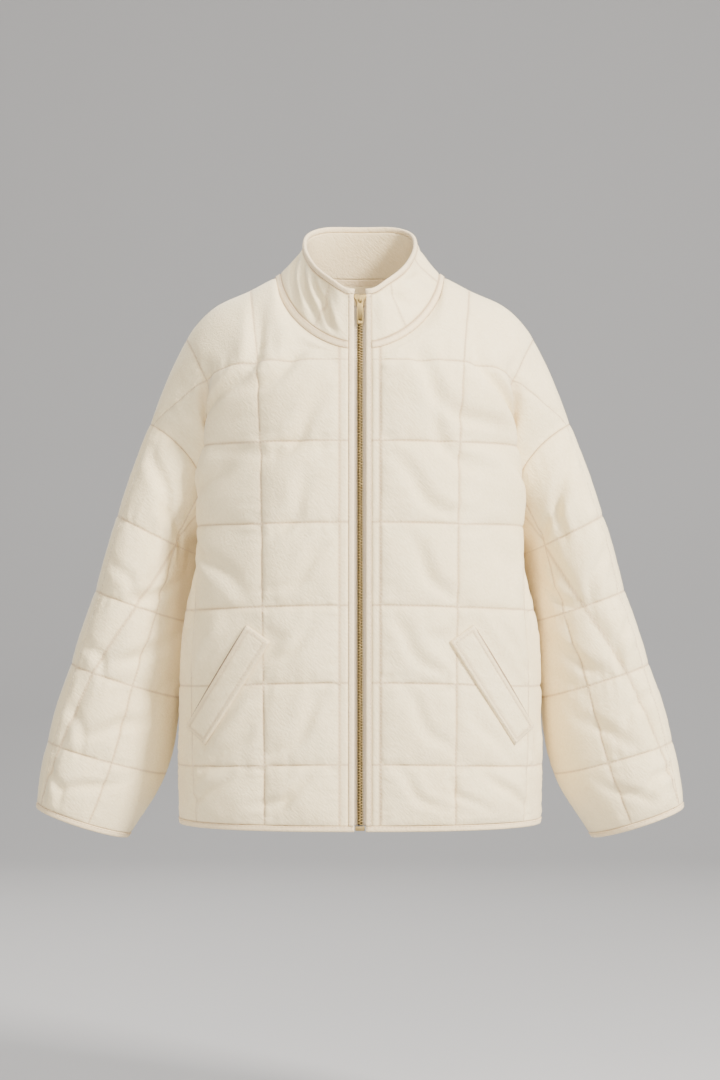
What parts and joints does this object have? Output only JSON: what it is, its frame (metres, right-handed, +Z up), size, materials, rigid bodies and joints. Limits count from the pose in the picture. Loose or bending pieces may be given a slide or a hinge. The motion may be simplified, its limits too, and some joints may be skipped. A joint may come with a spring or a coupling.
{
  "type": "quilted jacket",
  "caption": "Boxy quilted jacket in its worn, hollow shape, with a stand collar, a full-length metal zip, slanted welt pockets and bound edges.",
  "frame": {"origin": "middle of the neck base, level with the high points of the shoulders", "axes": "+Z up, the front faces -Y, +X to the wearer's left"},
  "size_m": [0.7468, 0.2467, 0.7069],
  "materials": {
    "quilted_cloth": "cream brushed cotton with a soft nap, quilted over thin padding",
    "binding": "the same cream cloth folded over the edges",
    "zip_tape": "woven cream tape",
    "zip_metal": "antique brass teeth, slider and pull"
  },
  "bodies": {
    "jacket": {"front_left": "quilted_cloth", "front_right": "quilted_cloth", "back": "quilted_cloth", "sleeve_left": "quilted_cloth", "sleeve_right": "quilted_cloth", "collar": "quilted_cloth", "neck_band": "binding", "collar_binding": "binding", "front_binding_left": "binding", "front_binding_right": "binding", "hem_binding": "binding", "cuff_binding_left": "binding", "cuff_binding_right": "binding", "pocket_welt_left": "quilted_cloth", "pocket_welt_right": "quilted_cloth", "zip_tape_left": "zip_tape", "zip_tape_right": "zip_tape", "zip_chain": "zip_metal", "zip_slider": "zip_metal", "zip_stop": "zip_metal"},
    "pull_tab": {"zip_pull": "zip_metal"}
  },
  "joints": [
    {"name": "pull_swing", "type": "hinge", "parent": "jacket", "child": "pull_tab", "pos_m": [0, -0.10088, -0.0374], "axis": [-1, 0, 0], "range_deg": [0, 150]}
  ]
}
